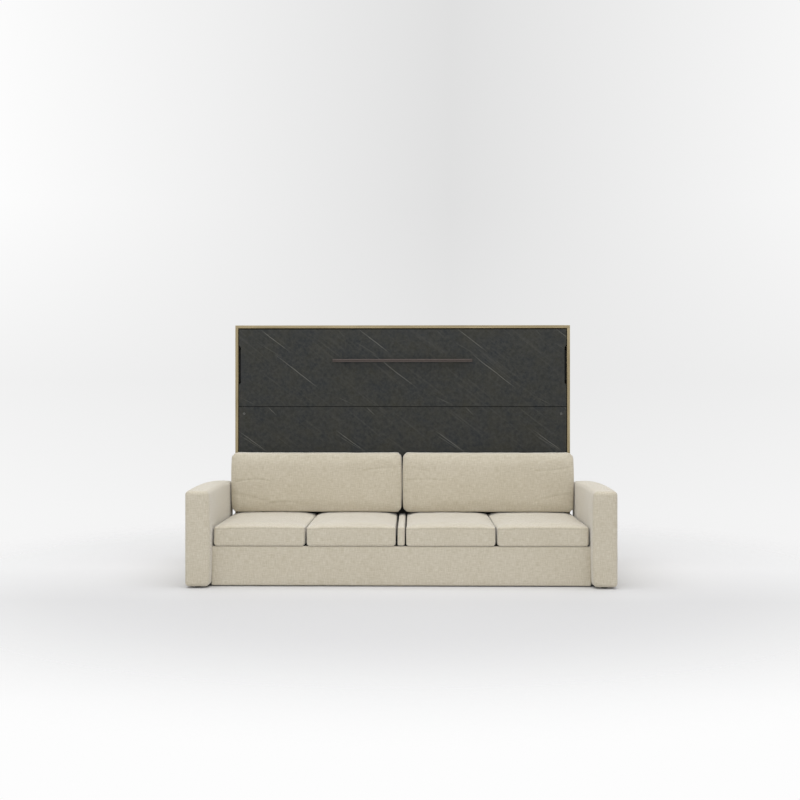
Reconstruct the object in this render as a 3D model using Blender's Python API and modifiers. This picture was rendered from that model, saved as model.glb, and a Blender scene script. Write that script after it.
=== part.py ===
"""Horizontal wall bed, folded up into its cabinet, with a sofa built in front of it.

Metres, +Z up, -Y towards the viewer. The origin lies on the floor, in the middle of the whole footprint.
The bed turns about a pin in each cabinet side. Its two legs swing out as it comes down, and the sofa's two
back cushions tip forward under it, onto the seat.
"""
import math

import bmesh
import bpy
from mathutils import Vector

# Shared clearances
touch_gap = 0.0003
merge_distance = 0.00001
cut_overrun = 0.004

# Cabinet
cabinet_width = 2.140
cabinet_height = 1.540
cabinet_depth = 0.450
board_thickness = 0.018
back_thickness = 0.008
wall_rail_height = 0.100
edge_softening = 0.0008

# Sofa
sofa_depth = 0.820
seat_side_reach = 0.0115
arm_width = 0.137
arm_height = 0.548
arm_radius = 0.020
glide_height = 0.008
glide_radius = 0.018
glide_inset = 0.060
base_height = 0.230
base_floor_gap = 0.012
base_recess = 0.070
base_thickness = 0.030
base_radius = 0.008
deck_thickness = 0.018
back_rail_thickness = 0.028
rib_thickness = 0.030
cleat_width = 0.028
cleat_height = 0.045

# Seat cushions and the strip between the middle two
seat_cushion_thickness = 0.127
seat_crown = 0.022
seat_overhang = 0.004
seat_back_gap = 0.012
cushion_gap = 0.005
divider_width = 0.039
divider_height = 0.112
divider_radius = 0.009

# Back cushions
back_cushion_thickness = 0.140
back_cushion_height = 0.372
back_cushion_crown = 0.016
back_cushion_gap = 0.004
back_cushion_parting = 0.008
back_cushion_arm_gap = 0.012

# Folding bed
face_inset = 0.001
front_thickness = 0.018
side_clearance = 0.005
top_clearance = 0.007
front_rise = 0.015
seam_drop = 0.495
seam_width = 0.003
front_chamfer = 0.0008
frame_depth = 0.040
rail_width = 0.025
rail_edge_inset = 0.021
frame_end_inset = 0.010
end_rail_height = 0.040
bottom_rail_drop = 0.005
lying_clearance = 0.020
fascia_clearance = 0.008

# Slats and mattress
slat_thickness = 0.012
slat_width = 0.070
slats_per_half = 6
slat_web_shares = {"lower": 0.28, "upper": 0.72}
slat_web_width = 0.045
slat_web_inset = 0.001
slat_end_gap = 0.020
slat_end_overlap = 0.005
mattress_end_room = 0.001
mattress_top_drop = 0.045
mattress_thickness = 0.160
mattress_radius = 0.030
mattress_bottom_rise = 0.025
strap_width = 0.050
strap_thickness = 0.002
strap_place = 0.620

# Pivot
pin_radius = 0.008
bore_clearance = 0.0003
plate_thickness = 0.0037
plate_front = 0.0140
plate_rear = 0.0450
plate_rise = 0.0900
plate_drop = 0.0140
plate_corner = 0.0060

# Folding legs, in the notches of the front's side edges
leg_pivot_drop = 0.045
leg_bar_thickness = 0.0036
leg_half_width = 0.011
leg_floor_gap = 0.002
leg_boss_radius = 0.010
leg_pin_radius = 0.005
leg_foot_height = 0.030
leg_foot_wall = 0.0004
notch_top_drop = 0.101
notch_height = 0.256
notch_depth = 0.012
notch_chamfer = 0.016
leg_box_clearance = 0.014
leg_box_step = 0.001
leg_box_gap = 0.002

# Handle
handle_length = 0.890
handle_height = 0.021
handle_depth = 0.011
handle_drop = 0.199
handle_standoff = 0.026
handle_radius = 0.0015
post_inset = 0.085
post_radius = 0.006

# Small fittings on the front and at the top
cap_radius = 0.0085
cap_height = 0.0025
cap_drop = 0.045
bumper_width = 0.060
bumper_depth = 0.016
bumper_place = 0.600
bumper_overlap = 0.010
bumper_radius = 0.0015

# Gas springs
spring_offset = 0.011
spring_anchor_back = 0.160
spring_anchor_up = 0.520
spring_bed_back = 0.040
spring_bed_down = 0.160
spring_tube_radius = 0.010
spring_bore_radius = 0.0056
spring_rod_radius = 0.005
spring_neck_radius = 0.0035
spring_tube_length = 0.300
spring_tube_start = 0.016
spring_bore_start = 0.040
spring_rod_overlap = 0.040
spring_eye_radius = 0.009
spring_eye_width = 0.010
stud_radius = 0.004
stud_end = 0.004
anchor_plate_half = 0.024
bracket_thickness = 0.004
bracket_half_length = 0.018
bracket_back_extra = 0.006
bracket_inset = 0.001
open_pivot_gap = 0.001

round_segments = 24
fine_segments = 32
soft_segments = 4
edge_segments = 2

# Places that follow from the sizes above
front_y = -(sofa_depth + cabinet_depth) / 2
cabinet_front = front_y + sofa_depth
cabinet_back = cabinet_front + cabinet_depth
cabinet_inner_half = cabinet_width / 2 - board_thickness
cabinet_inner_top = cabinet_height - board_thickness

seat_half = cabinet_width / 2 + seat_side_reach
deck_top = base_height
seat_bottom = deck_top + touch_gap
seat_top = seat_bottom + seat_cushion_thickness
seat_front = front_y + base_recess - seat_overhang
seat_back = cabinet_front - seat_back_gap

bed_face = cabinet_front + face_inset
bed_half = cabinet_inner_half - side_clearance
bed_top = cabinet_inner_top - top_clearance
front_bottom = deck_top + front_rise
seam_height = bed_top - seam_drop
handle_centre = bed_top - handle_drop
notch_top = bed_top - notch_top_drop
notch_bottom = notch_top - notch_height
frame_front = bed_face + front_thickness + touch_gap
frame_back = frame_front + frame_depth
pivot_y = frame_front + frame_depth / 2
pivot_depth = pivot_y - bed_face

back_cushion_bottom = seat_top + touch_gap
back_cushion_back = bed_face - back_cushion_gap
back_cushion_front = back_cushion_back - back_cushion_thickness
pivot_z = back_cushion_bottom + back_cushion_thickness + pivot_depth + lying_clearance

frame_top = bed_top - frame_end_inset
frame_bottom = front_bottom + frame_end_inset + bottom_rail_drop
rail_outer_half = bed_half - rail_edge_inset
rail_inner_half = rail_outer_half - rail_width
slat_front = frame_back + touch_gap
mattress_front = slat_front + slat_thickness + touch_gap
mattress_bottom = front_bottom + mattress_bottom_rise
mattress_width = bed_top - mattress_top_drop - mattress_bottom
mattress_length = 2 * (rail_inner_half - mattress_end_room)

plate_inner_half = cabinet_inner_half - touch_gap - plate_thickness
leg_pivot_z = bed_top - leg_pivot_drop
leg_reach = pivot_z - leg_floor_gap
leg_bar_centre = bed_half + side_clearance / 2
spring_centre = plate_inner_half - spring_offset
anchor_y = pivot_y + spring_anchor_back
anchor_z = pivot_z + spring_anchor_up
spring_foot_y = pivot_y + spring_bed_back
spring_foot_z = pivot_z - spring_bed_down

sides = {"left": -1, "right": 1}


def clear_scene():
    """Remove every object of the startup scene."""
    for thing in list(bpy.data.objects):
        bpy.data.objects.remove(thing, do_unlink=True)


def make_collection(name):
    """A collection linked to the scene."""
    group = bpy.data.collections.new(name)
    bpy.context.scene.collection.children.link(group)
    return group


def srgb_to_linear(channel):
    """One colour channel, from the screen's curve to linear light."""
    if channel <= 0.04045:
        return channel / 12.92
    return ((channel + 0.055) / 1.055) ** 2.4


def make_material(name, colour, roughness, metallic=0.0):
    """A plain Principled material from a hex colour."""
    material = bpy.data.materials.new(name)
    material.use_nodes = True
    shader = material.node_tree.nodes["Principled BSDF"]
    channels = [srgb_to_linear(int(colour[place:place + 2], 16) / 255) for place in (0, 2, 4)]
    shader.inputs["Base Color"].default_value = (*channels, 1.0)
    shader.inputs["Roughness"].default_value = roughness
    shader.inputs["Metallic"].default_value = metallic
    material.diffuse_color = (*channels, 1.0)
    return material


clear_scene()
parts = make_collection("sofa_wall_bed")
cutters = make_collection("cutters")

oak = make_material("light_oak", "B0A07A", 0.55)
slate = make_material("dark_slate_board", "3F3F3D", 0.60)
fabric = make_material("beige_weave", "C3BBA5", 0.95)
plywood = make_material("birch_plywood", "C9B48E", 0.65)
black_steel = make_material("black_steel", "1C1C1D", 0.45, 0.6)
bronze = make_material("bronze_metal", "5C5450", 0.38, 0.9)
bolt_steel = make_material("bolt_steel", "A4A5A3", 0.35, 0.9)
rubber = make_material("rubber", "232323", 0.85)
ticking = make_material("mattress_ticking", "E4E2DB", 0.9)
strap_web = make_material("strap_webbing", "4A4A4A", 0.9)
hardboard = make_material("hardboard", "BBA883", 0.7)


axis_places = {}


def add_axis(name, place, carrier=None):
    """An empty that marks a joint's axis. Moving pieces are its children."""
    empty = bpy.data.objects.new(name, None)
    parts.objects.link(empty)
    axis_places[name] = Vector(place)
    set_place(empty, place, carrier)
    return empty


def set_place(thing, place, carrier):
    """Put a thing at a place in the world, as the child of the axis that carries it."""
    thing.location = place
    if carrier:
        thing.parent = carrier
        thing.location = Vector(place) - axis_places[carrier.name]


bed_axis = add_axis("bed_axis", (0, pivot_y, pivot_z))


def add_mesh(name, mesh_data, centre, material, axis=None, group=parts):
    """Place a bmesh as an object. Its place is counted from its axis, if it has one."""
    mesh = bpy.data.meshes.new(name)
    mesh_data.to_mesh(mesh)
    mesh_data.free()
    thing = bpy.data.objects.new(name, mesh)
    group.objects.link(thing)
    if material:
        mesh.materials.append(material)
    set_place(thing, centre, axis)
    return thing


def soften(thing, radius, segments=edge_segments):
    """Round every edge of a piece."""
    bevel = thing.modifiers.new("rounded_edges", "BEVEL")
    bevel.width = radius
    bevel.segments = segments
    bevel.limit_method = "ANGLE"
    return thing


def add_box(name, x_span, y_span, z_span, material, axis=None, radius=0, segments=edge_segments,
            group=parts):
    """A block between the given ends, with rounded edges if a radius is given."""
    lows, highs = zip(*(sorted(span) for span in (x_span, y_span, z_span)))
    size = Vector(highs) - Vector(lows)
    centre = (Vector(highs) + Vector(lows)) / 2
    block = bmesh.new()
    bmesh.ops.create_cube(block, size=1)
    bmesh.ops.scale(block, vec=size, verts=block.verts)
    thing = add_mesh(name, block, centre, material, axis, group)
    if radius:
        soften(thing, radius, segments)
    return thing


def add_rod(name, start, end, radius, material, axis=None, segments=round_segments, group=parts):
    """A round bar from one point to another."""
    start, end = Vector(start), Vector(end)
    way = end - start
    bar = bmesh.new()
    bmesh.ops.create_cone(bar, cap_ends=True, segments=segments, radius1=radius, radius2=radius,
                          depth=way.length)
    turn = Vector((0, 0, 1)).rotation_difference(way).to_matrix()
    bmesh.ops.rotate(bar, cent=(0, 0, 0), matrix=turn, verts=bar.verts)
    thing = add_mesh(name, bar, (start + end) / 2, material, axis, group)
    thing.data.shade_smooth()
    thing.data.set_sharp_from_angle(angle=math.radians(40))
    return thing


def combine(thing, other, operation):
    """Cut or join with another shape, which becomes a hidden guide."""
    for group in other.users_collection:
        group.objects.unlink(other)
    cutters.objects.link(other)
    other.hide_render = True
    other.display_type = "WIRE"
    change = thing.modifiers.new(operation.lower() + "_" + other.name, "BOOLEAN")
    change.operation = operation
    change.solver = "EXACT"
    change.object = other
    return thing


def cut(thing, cutter):
    """Take the cutter's shape out of a piece."""
    return combine(thing, cutter, "DIFFERENCE")


def join(thing, other):
    """Make another shape part of a piece."""
    return combine(thing, other, "UNION")


def across(side, inner, outer):
    """The X span of a piece on one side, between two distances from the middle."""
    return (sides[side] * inner, sides[side] * outer)


def build_cabinet():
    """The carcass: sides, top, bottom, back, wall rail and the fixed board behind the sofa."""
    inner_span = (touch_gap - cabinet_inner_half, cabinet_inner_half - touch_gap)
    whole_depth = (cabinet_front, cabinet_back)
    for side in sides:
        add_box("cabinet_side_" + side, across(side, cabinet_inner_half, cabinet_width / 2), whole_depth,
                (0, cabinet_inner_top - touch_gap), oak, radius=edge_softening)
    add_box("cabinet_top", (-cabinet_width / 2, cabinet_width / 2), whole_depth,
            (cabinet_inner_top, cabinet_height), oak, radius=edge_softening)
    add_box("cabinet_bottom", inner_span, whole_depth, (0, board_thickness), oak, radius=edge_softening)
    above_bottom = board_thickness + touch_gap
    below_top = cabinet_inner_top - touch_gap
    back_front = cabinet_back - back_thickness
    add_box("cabinet_back", inner_span, (back_front, cabinet_back), (above_bottom, below_top), hardboard)
    rail_back = back_front - touch_gap
    add_box("wall_rail", inner_span, (rail_back - board_thickness, rail_back),
            (below_top - wall_rail_height, below_top), oak, radius=edge_softening)
    add_box("fascia_board", inner_span, (cabinet_front, cabinet_front + board_thickness),
            (above_bottom, front_bottom - fascia_clearance), slate, radius=front_chamfer)


def build_bumpers():
    """Two rubber blocks under the top board, where the closed bed comes to rest."""
    for side in sides:
        add_box("closing_bumper_" + side,
                across(side, bumper_place - bumper_width / 2, bumper_place + bumper_width / 2),
                (frame_back + touch_gap, frame_back + touch_gap + bumper_depth),
                (frame_top - bumper_overlap, cabinet_inner_top - touch_gap), rubber, radius=bumper_radius)


def build_pivot_plate(side):
    """A steel plate on the cabinet side, with the pin that carries the bed."""
    sign = sides[side]
    plate = add_box("pivot_plate_" + side,
                    across(side, plate_inner_half, plate_inner_half + plate_thickness),
                    (pivot_y - plate_front, pivot_y + plate_rear),
                    (pivot_z - plate_drop, pivot_z + plate_rise), black_steel)
    corner = plate.modifiers.new("rounded_corners", "BEVEL")
    corner.width = plate_corner
    corner.segments = edge_segments
    corner.limit_method = "WEIGHT"
    weights = plate.data.attributes.new("bevel_weight_edge", "FLOAT", "EDGE")
    for edge in plate.data.edges:
        ends = [plate.data.vertices[place].co for place in edge.vertices]
        if abs(ends[0].x - ends[1].x) > plate_thickness / 2:
            weights.data[edge.index].value = 1
    pin = add_rod("pivot_pin_" + side, (sign * (plate_inner_half + plate_thickness / 2), pivot_y, pivot_z),
                  (sign * (rail_inner_half + touch_gap), pivot_y, pivot_z), pin_radius, black_steel,
                  segments=fine_segments)
    join(plate, pin)


def build_spring_anchor(side):
    """A plate and stud on the cabinet side, which hold the upper end of a gas spring."""
    sign = sides[side]
    plate = add_box("spring_anchor_" + side,
                    across(side, plate_inner_half, plate_inner_half + plate_thickness),
                    (anchor_y - anchor_plate_half, anchor_y + anchor_plate_half),
                    (anchor_z - anchor_plate_half, anchor_z + anchor_plate_half), black_steel)
    stud = add_rod("anchor_stud_" + side,
                   (sign * (plate_inner_half + plate_thickness / 2), anchor_y, anchor_z),
                   (sign * (spring_centre - spring_eye_width / 2 - stud_end), anchor_y, anchor_z),
                   stud_radius, black_steel)
    join(plate, stud)


def build_sofa_arms():
    """Two box arms with rounded edges, each on two low glides."""
    for side in sides:
        add_box("sofa_arm_" + side, across(side, seat_half, seat_half + arm_width),
                (front_y, cabinet_front - touch_gap), (glide_height + touch_gap, arm_height), fabric,
                radius=arm_radius, segments=soft_segments)
        for end, place in (("front", front_y + glide_inset), ("back", cabinet_front - glide_inset)):
            middle = sides[side] * (seat_half + arm_width / 2)
            add_rod("glide_" + side + "_" + end, (middle, place, 0), (middle, place, glide_height),
                    glide_radius, rubber)


def build_sofa_base():
    """The covered base front, and the deck that carries the seat on a back rail, a rib and two cleats."""
    inside = seat_half - touch_gap
    front_face = front_y + base_recess
    front_back = front_face + base_thickness
    add_box("sofa_base_front", (-inside, inside), (front_face, front_back), (base_floor_gap, base_height),
            fabric, radius=base_radius, segments=edge_segments)
    behind_front = front_back + touch_gap
    deck_bottom = deck_top - deck_thickness
    add_box("seat_deck", (-inside, inside), (behind_front, cabinet_front - touch_gap),
            (deck_bottom, deck_top), plywood)
    under_deck = deck_bottom - touch_gap
    rail_front = cabinet_front - touch_gap - back_rail_thickness
    add_box("sofa_back_rail", (-inside, inside), (rail_front, cabinet_front - touch_gap),
            (base_floor_gap, under_deck), plywood)
    add_box("centre_rib", (-rib_thickness / 2, rib_thickness / 2), (behind_front, rail_front - touch_gap),
            (0, under_deck), plywood)
    for side in sides:
        add_box("deck_cleat_" + side, across(side, inside - cleat_width, inside),
                (behind_front, rail_front - touch_gap), (under_deck - cleat_height, under_deck), plywood)


cushion_shares = (-1.0, -0.9, -0.5, 0.5, 0.9, 1.0)
long_cushion_shares = (-1.0, -0.94, -0.6, -0.2, 0.2, 0.6, 0.94, 1.0)
height_shares = (-1.0, -0.55, 0.55, 1.0)
draw_in_share = 0.010
crown_start_share = 0.5
crown_power = 1.6


def cushion_cage(size, x_shares, y_shares, z_shares):
    """A block cut into a coarse cage, at shares of its half sizes."""
    cage = bmesh.new()
    bmesh.ops.create_cube(cage, size=1)
    bmesh.ops.scale(cage, vec=size, verts=cage.verts)
    for axis, shares in enumerate((x_shares, y_shares, z_shares)):
        normal = Vector([1 if place == axis else 0 for place in range(3)])
        for share in shares[1:-1]:
            bmesh.ops.bisect_plane(cage, geom=cage.verts[:] + cage.edges[:] + cage.faces[:],
                                   plane_co=normal * share * size[axis] / 2, plane_no=normal)
    return cage


def crown_rise(share):
    """How high a crown stands at a share of the half width: 1 over the middle, 0 along the seam."""
    outside = max(0, (abs(share) - crown_start_share) / (1 - crown_start_share))
    return 1 - outside ** crown_power


def finish_cushion(name, cage, centre, material, axis=None):
    """Round the cage into a soft form."""
    thing = add_mesh(name, cage, centre, material, axis)
    subdivision = thing.modifiers.new("soft_form", "SUBSURF")
    subdivision.levels = 1
    subdivision.render_levels = 1
    thing.data.shade_smooth()
    return thing


def build_seat_cushion(name, x_span):
    """A seat cushion: flat below, crowned above, with its sides drawn in between the corners.

    The crown falls towards the front and the sides. Behind, where the back cushion stands, it stays level.
    """
    low, high = sorted(x_span)
    size = Vector((high - low, seat_back - seat_front, seat_cushion_thickness))
    centre = Vector(((low + high) / 2, (seat_front + seat_back) / 2, (seat_bottom + seat_top) / 2))
    cage = cushion_cage(size, cushion_shares, cushion_shares, height_shares)
    for vert in cage.verts:
        across_share, along_share = (2 * vert.co[axis] / size[axis] for axis in (0, 1))
        height_share = vert.co.z / size.z + 0.5
        rise = crown_rise(across_share) * crown_rise(min(0, along_share))
        vert.co.z -= height_share * seat_crown * (1 - rise)
        vert.co.x *= 1 - draw_in_share * (1 - along_share ** 2)
        vert.co.y *= 1 - draw_in_share * (1 - across_share ** 2)
    return finish_cushion(name, cage, centre, fabric)


def build_seat():
    """Two pairs of seat cushions, with a narrow padded strip between the pairs."""
    inner = divider_width / 2 + cushion_gap
    outer = seat_half - cushion_gap
    middle = (inner + outer) / 2
    left_pair = ((-outer, -middle - cushion_gap / 2), (cushion_gap / 2 - middle, -inner))
    right_pair = [(-end, -start) for start, end in reversed(left_pair)]
    for number, x_span in enumerate((*left_pair, *right_pair), start=1):
        build_seat_cushion("seat_cushion_%d" % number, x_span)
    add_box("centre_divider", (-divider_width / 2, divider_width / 2), (seat_front, seat_back),
            (seat_bottom, seat_bottom + divider_height), fabric, radius=divider_radius,
            segments=soft_segments)


def build_back_cushion(side):
    """A large back cushion, crowned in front and behind, and level below, where it stands on the seat.

    It tips forward about its lower front edge.
    """
    hinge = add_axis("back_cushion_axis_" + side, (0, back_cushion_front, back_cushion_bottom))
    outer = seat_half - back_cushion_arm_gap
    low, high = sorted(across(side, back_cushion_parting / 2, outer))
    size = Vector((high - low, back_cushion_thickness, back_cushion_height))
    centre = Vector(((low + high) / 2, (back_cushion_front + back_cushion_back) / 2,
                     back_cushion_bottom + back_cushion_height / 2))
    cage = cushion_cage(size, long_cushion_shares, height_shares, cushion_shares)
    for vert in cage.verts:
        across_share, up_share = (2 * vert.co[axis] / size[axis] for axis in (0, 2))
        depth_share = 2 * vert.co.y / size.y
        rise = crown_rise(across_share) * crown_rise(up_share)
        vert.co.y -= depth_share * back_cushion_crown * (1 - rise)
        vert.co.x *= 1 - draw_in_share * (1 - up_share ** 2) / 2
        if up_share > 0:
            vert.co.z *= 1 - draw_in_share * (1 - across_share ** 2)
    finish_cushion("back_cushion_" + side, cage, centre, fabric, hinge)


def build_front_boards():
    """The two slate-look boards of the bed's front. The upper one has a notch in each side edge."""
    depth_span = (bed_face, bed_face + front_thickness)
    upper = add_box("bed_front_upper", (-bed_half, bed_half), depth_span,
                    (seam_height + seam_width / 2, bed_top), slate, bed_axis, front_chamfer, 1)
    add_box("bed_front_lower", (-bed_half, bed_half), depth_span,
            (front_bottom, seam_height - seam_width / 2), slate, bed_axis, front_chamfer, 1)
    for side in sides:
        notch = add_box("notch_" + side, across(side, bed_half - notch_depth, bed_half + cut_overrun),
                        (bed_face - cut_overrun, bed_face + front_thickness + cut_overrun),
                        (notch_bottom, notch_top), None, bed_axis, group=cutters)
        slope = notch_chamfer / notch_depth
        for vert in notch.data.vertices:
            outside = vert.co.x * sides[side] > 0
            shift = slope * cut_overrun if outside else -notch_chamfer
            vert.co.z += math.copysign(shift, vert.co.z * shift)
        cut(upper, notch)


def build_frame():
    """The bed's frame behind the front: two bored side rails and three cross rails."""
    depth_span = (frame_front, frame_back)
    for side in sides:
        rail = add_box("side_rail_" + side, across(side, rail_inner_half, rail_outer_half), depth_span,
                       (frame_bottom, frame_top), black_steel, bed_axis)
        start, end = across(side, rail_inner_half - cut_overrun, rail_outer_half + cut_overrun)
        for name, radius, height in (("pivot", pin_radius, pivot_z), ("leg", leg_pin_radius, leg_pivot_z)):
            bore = add_rod(name + "_bore_" + side, (start, pivot_y, height), (end, pivot_y, height),
                           radius + bore_clearance, None, bed_axis, fine_segments, cutters)
            cut(rail, bore)
    between = (touch_gap - rail_inner_half, rail_inner_half - touch_gap)
    cross_rails = (("top_rail", frame_top - end_rail_height), ("bottom_rail", frame_bottom),
                   ("middle_rail", seam_height - end_rail_height / 2))
    for name, bottom in cross_rails:
        add_box(name, between, depth_span, (bottom, bottom + end_rail_height), black_steel, bed_axis)


def build_slat_base(side):
    """Half of the slatted base: upright slats, joined by two webs."""
    first = slat_end_gap + slat_width / 2
    last = mattress_length / 2 - first
    step = (last - first) / (slats_per_half - 1)
    low = mattress_bottom - slat_end_overlap
    high = mattress_bottom + mattress_width + slat_end_overlap
    slat_back = slat_front + slat_thickness

    def add_slat(name, number, group):
        middle = first + number * step
        return add_box(name, across(side, middle - slat_width / 2, middle + slat_width / 2),
                       (slat_front, slat_back), (low, high), plywood, bed_axis, group=group)

    base = add_slat("slat_base_" + side, 0, parts)
    for name, share in slat_web_shares.items():
        middle = low + share * (high - low)
        join(base, add_box("slat_web_%s_%s" % (side, name), across(side, first, last),
                           (slat_front + slat_web_inset, slat_back - slat_web_inset),
                           (middle - slat_web_width / 2, middle + slat_web_width / 2),
                           plywood, bed_axis, group=cutters))
    for number in range(1, slats_per_half):
        join(base, add_slat("slat_%s_%d" % (side, number), number, cutters))


def arc(centre, radius, start, end, steps):
    """Points along an arc between two angles, in degrees."""
    turns = [math.radians(start + (end - start) * step / steps) for step in range(steps + 1)]
    return [(centre[0] + radius * math.cos(turn), centre[1] + radius * math.sin(turn)) for turn in turns]


def build_strap(side):
    """An elastic strap over the mattress: a thin band with rounded turns, from edge to edge."""
    near = 0
    far = mattress_thickness + touch_gap
    half = mattress_width / 2 + touch_gap
    turn_radius = mattress_radius + touch_gap
    turn = (far - turn_radius, half - turn_radius)
    inner = [(near, half)] + arc(turn, turn_radius, 90, 0, soft_segments)
    inner += [(place, -height) for place, height in reversed(inner)]
    outer_radius = turn_radius + strap_thickness
    outer = [(near, half + strap_thickness)] + arc(turn, outer_radius, 90, 0, soft_segments)
    outer += [(place, -height) for place, height in reversed(outer)]
    outline = inner + outer[::-1]
    curve = bpy.data.curves.new("mattress_strap_" + side, "CURVE")
    curve.dimensions = "2D"
    curve.fill_mode = "BOTH"
    curve.extrude = strap_width / 2
    spline = curve.splines.new("POLY")
    spline.points.add(len(outline) - 1)
    for point, (place, height) in zip(spline.points, outline):
        point.co = (place, height, 0, 1)
    spline.use_cyclic_u = True
    curve.materials.append(strap_web)
    strap = bpy.data.objects.new("mattress_strap_" + side, curve)
    parts.objects.link(strap)
    centre = (sides[side] * strap_place, mattress_front, mattress_bottom + mattress_width / 2)
    set_place(strap, centre, bed_axis)
    strap.rotation_euler = (math.radians(90), 0, math.radians(90))


def build_mattress():
    """The mattress, held on the slats by two straps."""
    add_box("mattress", (-mattress_length / 2, mattress_length / 2),
            (mattress_front, mattress_front + mattress_thickness),
            (mattress_bottom, mattress_bottom + mattress_width), ticking, bed_axis,
            mattress_radius, soft_segments)
    for side in sides:
        build_strap(side)


def build_handle():
    """The long bar handle on two posts."""
    bar_back = bed_face - handle_standoff
    add_box("handle_bar", (-handle_length / 2, handle_length / 2), (bar_back - handle_depth, bar_back),
            (handle_centre - handle_height / 2, handle_centre + handle_height / 2), bronze, bed_axis,
            handle_radius)
    for side in sides:
        middle = sides[side] * (handle_length / 2 - post_inset)
        add_rod("handle_post_" + side, (middle, bed_face - touch_gap, handle_centre),
                (middle, bar_back + touch_gap, handle_centre), post_radius, bronze, bed_axis)


def build_bolt_caps():
    """The two round caps below the seam, over the bolts that hold the front to the side rails."""
    for side in sides:
        middle = sides[side] * (rail_inner_half + rail_outer_half) / 2
        height = seam_height - cap_drop
        add_rod("bolt_cap_" + side, (middle, bed_face - touch_gap, height),
                (middle, bed_face - touch_gap - cap_height, height), cap_radius, bolt_steel, bed_axis)


def build_leg(side):
    """A flat leg beside the front's edge. Its boxed middle part swings out through the notch."""
    sign = sides[side]
    hinge = add_axis("leg_axis_" + side, (0, pivot_y, leg_pivot_z), bed_axis)
    sole = leg_pivot_z - leg_reach
    bar_span = (leg_bar_centre - leg_bar_thickness / 2, leg_bar_centre + leg_bar_thickness / 2)
    width_span = (pivot_y - leg_half_width, pivot_y + leg_half_width)
    bar = add_box("leg_" + side, across(side, *bar_span), width_span,
                  (sole + leg_foot_height + touch_gap, leg_pivot_z + leg_half_width), black_steel, hinge)
    end_clearance = notch_chamfer + leg_box_clearance
    box = add_box("leg_box_" + side, across(side, bed_half - notch_depth + leg_box_gap, leg_bar_centre),
                  (width_span[0] + leg_box_step, width_span[1] - leg_box_step),
                  (notch_bottom + end_clearance, notch_top - end_clearance), black_steel, hinge)
    join(bar, box)
    for name, radius, inner in (("boss", leg_boss_radius, rail_outer_half + touch_gap),
                                ("pin", leg_pin_radius, rail_inner_half + touch_gap)):
        stub = add_rod("leg_%s_%s" % (name, side), (sign * leg_bar_centre, pivot_y, leg_pivot_z),
                       (sign * inner, pivot_y, leg_pivot_z), radius, black_steel, hinge, fine_segments)
        join(bar, stub)
    foot_span = (bar_span[0] - leg_foot_wall, bar_span[1] + leg_foot_wall)
    add_box("leg_foot_" + side, across(side, *foot_span), width_span, (sole, sole + leg_foot_height),
            rubber, hinge)


def build_spring_bracket(side):
    """A lug on the back of the side rail, whose stud points at the lower eye of the gas spring."""
    outer = rail_outer_half - bracket_inset
    lug = add_box("spring_bracket_" + side, across(side, outer - bracket_thickness, outer),
                  (frame_back + touch_gap, spring_foot_y + bracket_back_extra),
                  (spring_foot_z - bracket_half_length, spring_foot_z + bracket_half_length),
                  black_steel, bed_axis)
    start, end = across(side, outer - bracket_thickness / 2,
                        spring_centre - spring_eye_width / 2 - open_pivot_gap)
    stud = add_rod("bracket_stud_" + side, (start, spring_foot_y, spring_foot_z),
                   (end, spring_foot_y, spring_foot_z), stud_radius, black_steel, bed_axis)
    join(lug, stud)


def build_gas_spring(side):
    """A gas spring beside the mattress: a bored tube hung from the cabinet, and a rod that slides in it."""
    middle = sides[side] * spring_centre
    anchor = Vector((middle, anchor_y, anchor_z))
    foot = Vector((middle, spring_foot_y, spring_foot_z))
    way = (foot - anchor).normalized()
    hinge = add_axis("spring_axis_" + side, anchor)

    neck_start = spring_eye_radius / 2
    profile = bmesh.new()
    outline = ((0, -neck_start), (spring_neck_radius, -neck_start),
               (spring_neck_radius, -spring_tube_start), (spring_tube_radius, -spring_tube_start),
               (spring_tube_radius, -spring_tube_length),
               (spring_bore_radius, -spring_tube_length), (spring_bore_radius, -spring_bore_start),
               (0, -spring_bore_start))
    verts = [profile.verts.new((radius, 0, height)) for radius, height in outline]
    for first, second in zip(verts, verts[1:]):
        profile.edges.new((first, second))
    tube = add_mesh("spring_tube_" + side, profile, anchor, black_steel, hinge)
    tube.rotation_euler.x = -math.atan2(anchor_y - spring_foot_y, anchor_z - spring_foot_z)
    turning = tube.modifiers.new("turned", "SCREW")
    turning.steps = round_segments
    turning.render_steps = round_segments
    turning.use_merge_vertices = True
    turning.merge_threshold = merge_distance

    sideways = Vector((spring_eye_width / 2, 0, 0))
    past = Vector((spring_eye_width / 2 + cut_overrun, 0, 0))
    eye = add_rod("tube_eye_" + side, anchor - sideways, anchor + sideways, spring_eye_radius,
                  black_steel, hinge)
    hole = add_rod("tube_eye_hole_" + side, anchor - past, anchor + past,
                   stud_radius + bore_clearance, None, hinge, group=cutters)
    join(tube, eye)
    cut(tube, hole)

    rod = add_rod("spring_rod_" + side, anchor + way * (spring_tube_length - spring_rod_overlap),
                  foot - way * neck_start, spring_rod_radius, bolt_steel, hinge)
    lower_eye = add_rod("rod_eye_" + side, foot - sideways, foot + sideways, spring_eye_radius,
                        bolt_steel, hinge)
    join(rod, lower_eye)


build_cabinet()
build_bumpers()
build_sofa_arms()
build_sofa_base()
build_seat()
build_front_boards()
build_frame()
build_mattress()
build_handle()
build_bolt_caps()
for name in sides:
    build_pivot_plate(name)
    build_spring_anchor(name)
    build_back_cushion(name)
    build_slat_base(name)
    build_leg(name)
    build_spring_bracket(name)
    build_gas_spring(name)
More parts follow.
